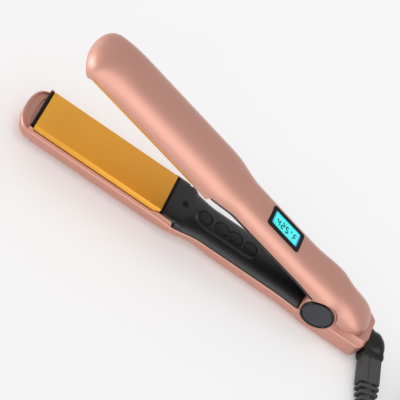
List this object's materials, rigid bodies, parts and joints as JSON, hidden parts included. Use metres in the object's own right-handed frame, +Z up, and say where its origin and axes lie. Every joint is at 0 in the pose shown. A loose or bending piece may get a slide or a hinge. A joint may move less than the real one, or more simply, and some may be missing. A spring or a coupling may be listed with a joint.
{
  "type": "flat iron",
  "caption": "Hair flat iron with two sprung arms on a hinge, floating heated plates, press buttons, a rocker, a lit display and a swivel cord.",
  "frame": {"origin": "on the resting surface, under the middle of the two arms", "axes": "+X from the tips towards the hinge and the cord, +Y across the arms, +Z up from the lower arm to the upper arm"},
  "size_m": [0.4204, 0.1055, 0.1002],
  "materials": {
    "rose_shell": "satin metallic rose gold",
    "black_cover": "smooth satin black",
    "gold_plate": "satin gold coating",
    "ceramic_heater": "matt",
    "steel": "brushed",
    "silicone_pad": "matt",
    "circuit_board": "solder mask",
    "display_window": "clear",
    "display_panel": "backlit",
    "hinge_badge": "satin slate",
    "brass": "turned",
    "swivel_black": "gloss black",
    "cord_boot": "matt dark grey",
    "cord": "matt black",
    "plug": "matt black"
  },
  "bodies": {
    "root": {"lower_shell": "rose_shell", "lower_cover": "black_cover", "lower_plate_holder": "black_cover", "lower_float_pads": "silicone_pad", "control_board": "circuit_board", "button_switches": "swivel_black", "lower_screws": "steel", "hinge_pin": "steel", "opening_spring": "steel", "hinge_cap_near": "hinge_badge", "hinge_cap_far": "hinge_badge", "hinge_cap_rings": "swivel_black", "swivel_bush": "swivel_black", "cord_lead": "cord", "cord_coil": "cord", "cord_tie": "black_cover", "plug_body": "plug", "plug_blades": "brass"},
    "upper_arm": {"upper_shell": "rose_shell", "upper_cover": "black_cover", "upper_plate_holder": "black_cover", "upper_float_pads": "silicone_pad", "upper_screws": "steel", "hinge_bush": "brass", "display_frame": "swivel_black", "display_window": "display_window", "display_panel": "display_panel", "display_board": "circuit_board"},
    "lower_hot_plate": {"lower_plate": "gold_plate", "lower_heater": "ceramic_heater", "lower_heater_clip": "steel", "lower_sensor": "ceramic_heater", "thermal_fuse": "steel"},
    "upper_hot_plate": {"upper_plate": "gold_plate", "upper_heater": "ceramic_heater", "upper_heater_clip": "steel", "upper_sensor": "ceramic_heater"},
    "power_button": {"power_button": "black_cover"},
    "temperature_rocker": {"temperature_rocker": "black_cover"},
    "mode_button": {"mode_button": "black_cover"},
    "swivel": {"swivel_collar": "swivel_black", "swivel_clip": "steel", "cord_boot": "cord_boot"}
  },
  "joints": [
    {"name": "arm_hinge", "type": "hinge", "parent": "root", "child": "upper_arm", "pos_m": [0.0956, 0, 0.01935], "axis": [0, 1, 0], "range_deg": [-16.7, 0], "stiffness_Nm_per_rad": 0.5, "springref_deg": 40.11, "deforming": ["opening_spring"]},
    {"name": "lower_plate_float", "type": "slide", "parent": "root", "child": "lower_hot_plate", "axis": [0, 0, -1], "range_m": [0, 0.0006], "stiffness_N_per_m": 6000, "springref_m": -0.0006, "deforming": ["lower_float_pads"]},
    {"name": "upper_plate_float", "type": "slide", "parent": "upper_arm", "child": "upper_hot_plate", "axis": [0.2874, 0, 0.9578], "range_m": [0, 0.0006], "stiffness_N_per_m": 6000, "springref_m": -0.0006, "deforming": ["upper_float_pads"]},
    {"name": "power_button_press", "type": "slide", "parent": "root", "child": "power_button", "axis": [0, 0, -1], "range_m": [0, 0.0005], "stiffness_N_per_m": 600, "springref_m": -0.0005},
    {"name": "temperature_rocker_tilt", "type": "hinge", "parent": "root", "child": "temperature_rocker", "pos_m": [0.0199, 0, 0.01555], "axis": [0, 1, 0], "range_deg": [-3, 3], "stiffness_Nm_per_rad": 0.06},
    {"name": "mode_button_press", "type": "slide", "parent": "root", "child": "mode_button", "axis": [0, 0, -1], "range_m": [0, 0.0005], "stiffness_N_per_m": 600, "springref_m": -0.0005},
    {"name": "cord_swivel", "type": "hinge", "parent": "root", "child": "swivel", "pos_m": [0.1346, 0, 0.00915], "axis": [-1, 0, 0], "continuous": true, "deforming": ["cord_lead"]}
  ]
}
